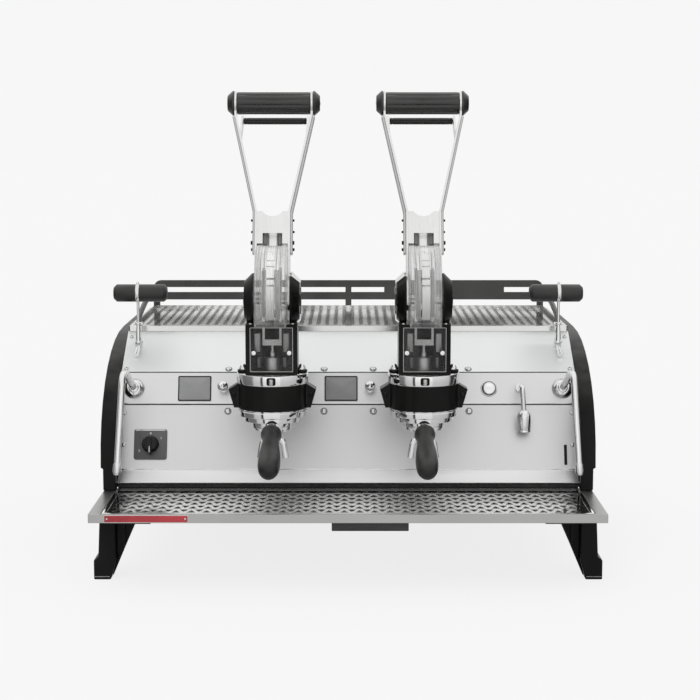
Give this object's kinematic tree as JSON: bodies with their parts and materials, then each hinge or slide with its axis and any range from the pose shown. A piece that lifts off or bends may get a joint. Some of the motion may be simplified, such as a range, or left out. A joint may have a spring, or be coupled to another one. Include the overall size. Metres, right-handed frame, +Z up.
{
  "type": "lever espresso machine",
  "caption": "Counter-top espresso machine with tall spring levers, portafilters, steam wands, hot-water tap, drip tray and railed cup shelf.",
  "frame": {"origin": "on the counter, under the middle of the outer box", "axes": "+X to the right as the barista sees it, +Y from the front to the back, +Z up; the front faces -Y"},
  "size_m": [0.872, 0.7692, 0.8314],
  "materials": {
    "black_paint": "satin black paint",
    "grip_black": "matt black",
    "brushed_steel": "brushed",
    "bright_steel": "polished",
    "chrome": "polished",
    "dark_steel": "dark matt",
    "smoky_window": "smoky and clear",
    "clear_cover": "clear",
    "screen_glass": "grey display"
  },
  "bodies": {
    "machine": {"base_floor": "dark_steel", "base_frame": "dark_steel", "basin_floor": "brushed_steel", "control_panel": "brushed_steel", "cup_rail": "black_paint", "cup_shelf": "bright_steel", "drip_basin": "brushed_steel", "drip_sump": "brushed_steel", "front_left_leg": "black_paint", "front_right_leg": "black_paint", "left_cam_cover": "clear_cover", "left_group_band": "black_paint", "left_group_head": "chrome", "left_group_tower": "black_paint", "left_piston_spring": "brushed_steel", "left_screen": "screen_glass", "left_side_frame": "black_paint", "left_tower_window": "smoky_window", "left_tray_arm": "dark_steel", "lower_front_panel": "brushed_steel", "rear_left_leg": "black_paint", "rear_panel": "brushed_steel", "rear_right_leg": "black_paint", "right_cam_cover": "clear_cover", "right_group_band": "black_paint", "right_group_head": "chrome", "right_group_tower": "black_paint", "right_piston_spring": "brushed_steel", "right_screen": "screen_glass", "right_side_frame": "black_paint", "right_tower_window": "smoky_window", "right_tray_arm": "dark_steel", "steam_boiler": "brushed_steel", "upper_front_panel": "bright_steel"},
    "left_lever": {"left_lever_yoke": "chrome", "left_lever_grip": "grip_black", "left_lever_rear_bar": "grip_black", "left_lever_cam": "brushed_steel"},
    "left_piston": {"left_piston_rod": "brushed_steel"},
    "left_portafilter": {"left_portafilter_body": "chrome", "left_portafilter_handle": "grip_black"},
    "left_steam_control": {"left_steam_lever": "chrome", "left_steam_grip": "grip_black"},
    "left_wand": {"left_steam_wand": "chrome"},
    "left_dial": {"left_knob": "chrome"},
    "right_lever": {"right_lever_yoke": "chrome", "right_lever_grip": "grip_black", "right_lever_rear_bar": "grip_black", "right_lever_cam": "brushed_steel"},
    "right_piston": {"right_piston_rod": "brushed_steel"},
    "right_portafilter": {"right_portafilter_body": "chrome", "right_portafilter_handle": "grip_black"},
    "right_steam_control": {"right_steam_lever": "chrome", "right_steam_grip": "grip_black"},
    "right_wand": {"right_steam_wand": "chrome"},
    "right_dial": {"right_knob": "chrome"},
    "tap": {"hot_water_spout": "chrome"},
    "button": {"hot_water_button": "chrome"},
    "switch": {"rotary_knob": "black_paint"},
    "grate": {"drip_grate": "bright_steel"}
  },
  "joints": [
    {"name": "left_lever_pull", "type": "hinge", "parent": "machine", "child": "left_lever", "pos_m": [-0.12702, -0.20536, 0.483], "axis": [1, 0, 0], "range_deg": [0, 105], "stiffness_Nm_per_rad": 8},
    {"name": "left_piston_lift", "type": "slide", "parent": "machine", "child": "left_piston", "axis": [0, 0, 1], "range_m": [0, 0.0301], "deforming": ["left_piston_spring"]},
    {"name": "left_portafilter_turn", "type": "hinge", "parent": "machine", "child": "left_portafilter", "pos_m": [-0.12702, -0.20536, 0], "axis": [0, 0, 1], "range_deg": [-45, 0]},
    {"name": "left_steam_lever_tilt", "type": "hinge", "parent": "machine", "child": "left_steam_control", "pos_m": [-0.38, 0.01967, 0.38396], "axis": [1, 0, 0], "range_deg": [-20, 35]},
    {"name": "left_wand_swing", "type": "hinge", "parent": "machine", "child": "left_wand", "pos_m": [-0.38, -0.05241, 0.3093], "axis": [0, -0.9398, 0.3417], "range_deg": [-15, 60]},
    {"name": "left_knob_turn", "type": "hinge", "parent": "machine", "child": "left_dial", "pos_m": [-0.22128, -0.05241, 0.3093], "axis": [0, -0.9398, 0.3417], "continuous": true},
    {"name": "right_lever_pull", "type": "hinge", "parent": "machine", "child": "right_lever", "pos_m": [0.12702, -0.20536, 0.483], "axis": [1, 0, 0], "range_deg": [0, 105], "stiffness_Nm_per_rad": 8},
    {"name": "right_piston_lift", "type": "slide", "parent": "machine", "child": "right_piston", "axis": [0, 0, 1], "range_m": [0, 0.0301], "deforming": ["right_piston_spring"]},
    {"name": "right_portafilter_turn", "type": "hinge", "parent": "machine", "child": "right_portafilter", "pos_m": [0.12702, -0.20536, 0], "axis": [0, 0, 1], "range_deg": [-45, 0]},
    {"name": "right_steam_lever_tilt", "type": "hinge", "parent": "machine", "child": "right_steam_control", "pos_m": [0.38, 0.01967, 0.38396], "axis": [1, 0, 0], "range_deg": [-20, 35]},
    {"name": "right_wand_swing", "type": "hinge", "parent": "machine", "child": "right_wand", "pos_m": [0.38, -0.05241, 0.3093], "axis": [0, -0.9398, 0.3417], "range_deg": [-60, 15]},
    {"name": "right_knob_turn", "type": "hinge", "parent": "machine", "child": "right_dial", "pos_m": [0.0387, -0.05241, 0.3093], "axis": [0, -0.9398, 0.3417], "continuous": true},
    {"name": "hot_water_swing", "type": "hinge", "parent": "machine", "child": "tap", "pos_m": [0.30487, -0.05241, 0.3093], "axis": [0, -0.9398, 0.3417], "range_deg": [-45, 45]},
    {"name": "hot_water_press", "type": "slide", "parent": "machine", "child": "button", "axis": [0, 0.9398, -0.3417], "range_m": [0, 0.0025], "stiffness_N_per_m": 400},
    {"name": "switch_turn", "type": "hinge", "parent": "machine", "child": "switch", "pos_m": [-0.3485, -0.08677, 0.215], "axis": [0, -0.9395, 0.3426], "range_deg": [-90, 0]},
    {"name": "grate_lift", "type": "slide", "parent": "machine", "child": "grate", "axis": [0, 0, 1], "range_m": [0, 0.03]}
  ],
  "couplings": [
    {"joint": "left_piston_lift", "follows": "left_lever_pull", "m_per_rad": 0.01637},
    {"joint": "right_piston_lift", "follows": "right_lever_pull", "m_per_rad": 0.01637}
  ]
}
